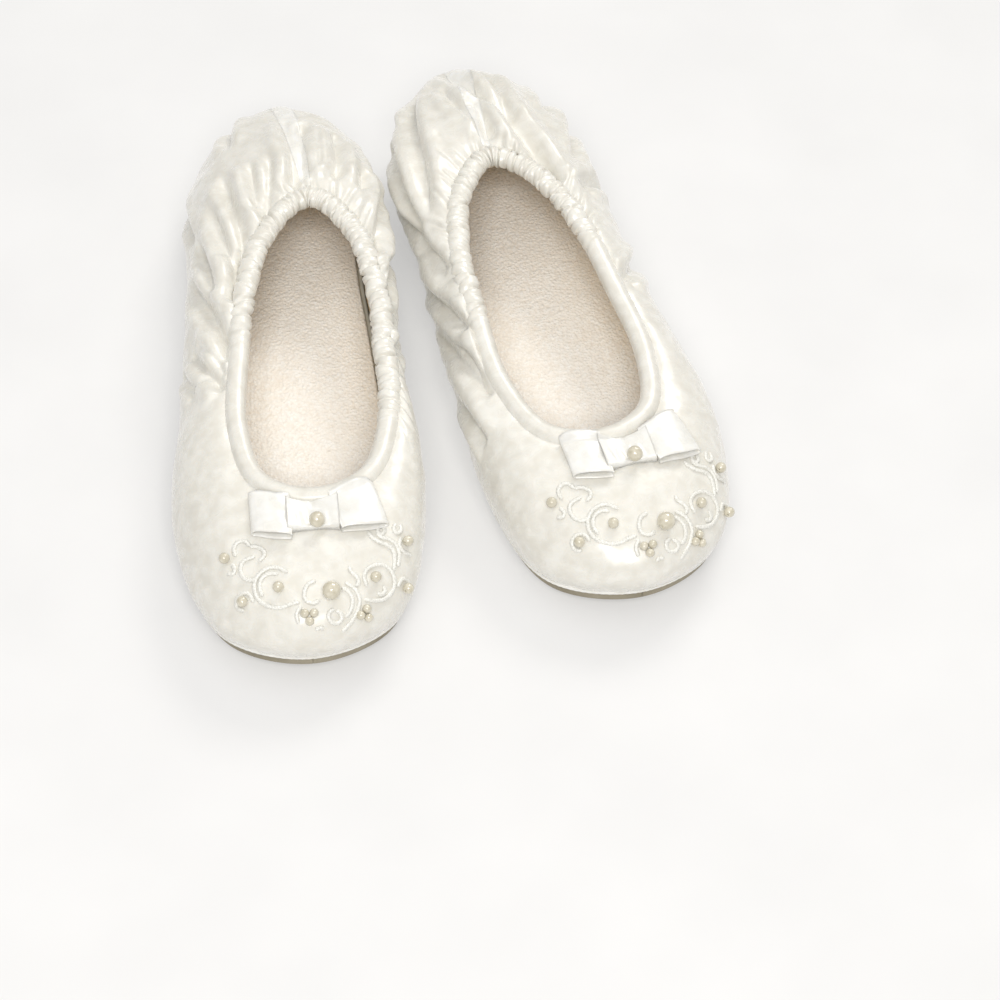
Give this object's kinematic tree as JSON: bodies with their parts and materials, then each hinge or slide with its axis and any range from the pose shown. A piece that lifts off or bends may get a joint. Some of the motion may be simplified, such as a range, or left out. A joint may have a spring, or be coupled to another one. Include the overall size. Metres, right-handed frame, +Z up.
{
  "type": "spa slippers",
  "caption": "Pair of soft closed-toe satin slippers with an elastic gathered topline, padded toe, ribbon bow, pearl beading and low foam sole.",
  "frame": {"origin": "middle of the pair's box, on the floor", "axes": "+Z up; +Y from the toes to the heels, midway between the two slippers; +X toward the left slipper"},
  "size_m": [0.1866, 0.2524, 0.0507],
  "materials": {
    "satin": "ivory satin, soft sheen",
    "lining": "warm cream woven lining",
    "wadding": "soft polyester wadding",
    "terry": "fine beige terry",
    "foam": "closed-cell foam",
    "outsole": "matte fine-textured rubber",
    "elastic": "woven elastic",
    "pearl": "imitation pearl, nacre coat",
    "thread": "glossy embroidery cord"
  },
  "bodies": {
    "right_slipper": {"right_outsole": "outsole", "right_midsole": "foam", "right_sock": "terry", "right_sole_piping": "satin", "right_satin_upper": "satin", "right_toe_padding": "wadding", "right_lining": "lining", "right_topline_binding": "satin", "right_topline_elastic": "elastic", "right_heel_seam_tape": "satin", "right_bow_loop_a": "satin", "right_bow_loop_b": "satin", "right_bow_wrap": "satin", "right_bow_pearl": "pearl", "right_toe_pearl": "pearl", "right_small_pearl_1": "pearl", "right_small_pearl_2": "pearl", "right_small_pearl_3": "pearl", "right_small_pearl_4": "pearl", "right_small_pearl_5": "pearl", "right_small_pearl_6": "pearl", "right_seed_cluster_1": "pearl", "right_seed_cluster_2": "pearl", "right_sprig_outer": "thread", "right_scroll_outer": "thread", "right_flower_arc": "thread", "right_scroll_inner": "thread", "right_sprig_inner": "thread"},
    "left_slipper": {"left_outsole": "outsole", "left_midsole": "foam", "left_sock": "terry", "left_sole_piping": "satin", "left_satin_upper": "satin", "left_toe_padding": "wadding", "left_lining": "lining", "left_topline_binding": "satin", "left_topline_elastic": "elastic", "left_heel_seam_tape": "satin", "left_bow_loop_a": "satin", "left_bow_loop_b": "satin", "left_bow_wrap": "satin", "left_bow_pearl": "pearl", "left_toe_pearl": "pearl", "left_small_pearl_1": "pearl", "left_small_pearl_2": "pearl", "left_small_pearl_3": "pearl", "left_small_pearl_4": "pearl", "left_small_pearl_5": "pearl", "left_small_pearl_6": "pearl", "left_seed_cluster_1": "pearl", "left_seed_cluster_2": "pearl", "left_sprig_outer": "thread", "left_scroll_outer": "thread", "left_flower_arc": "thread", "left_scroll_inner": "thread", "left_sprig_inner": "thread"}
  },
  "joints": [
    {"name": "left_slipper_lift", "type": "slide", "parent": "right_slipper", "child": "left_slipper", "axis": [0, 0, 1], "range_m": [0, 0.12]}
  ]
}
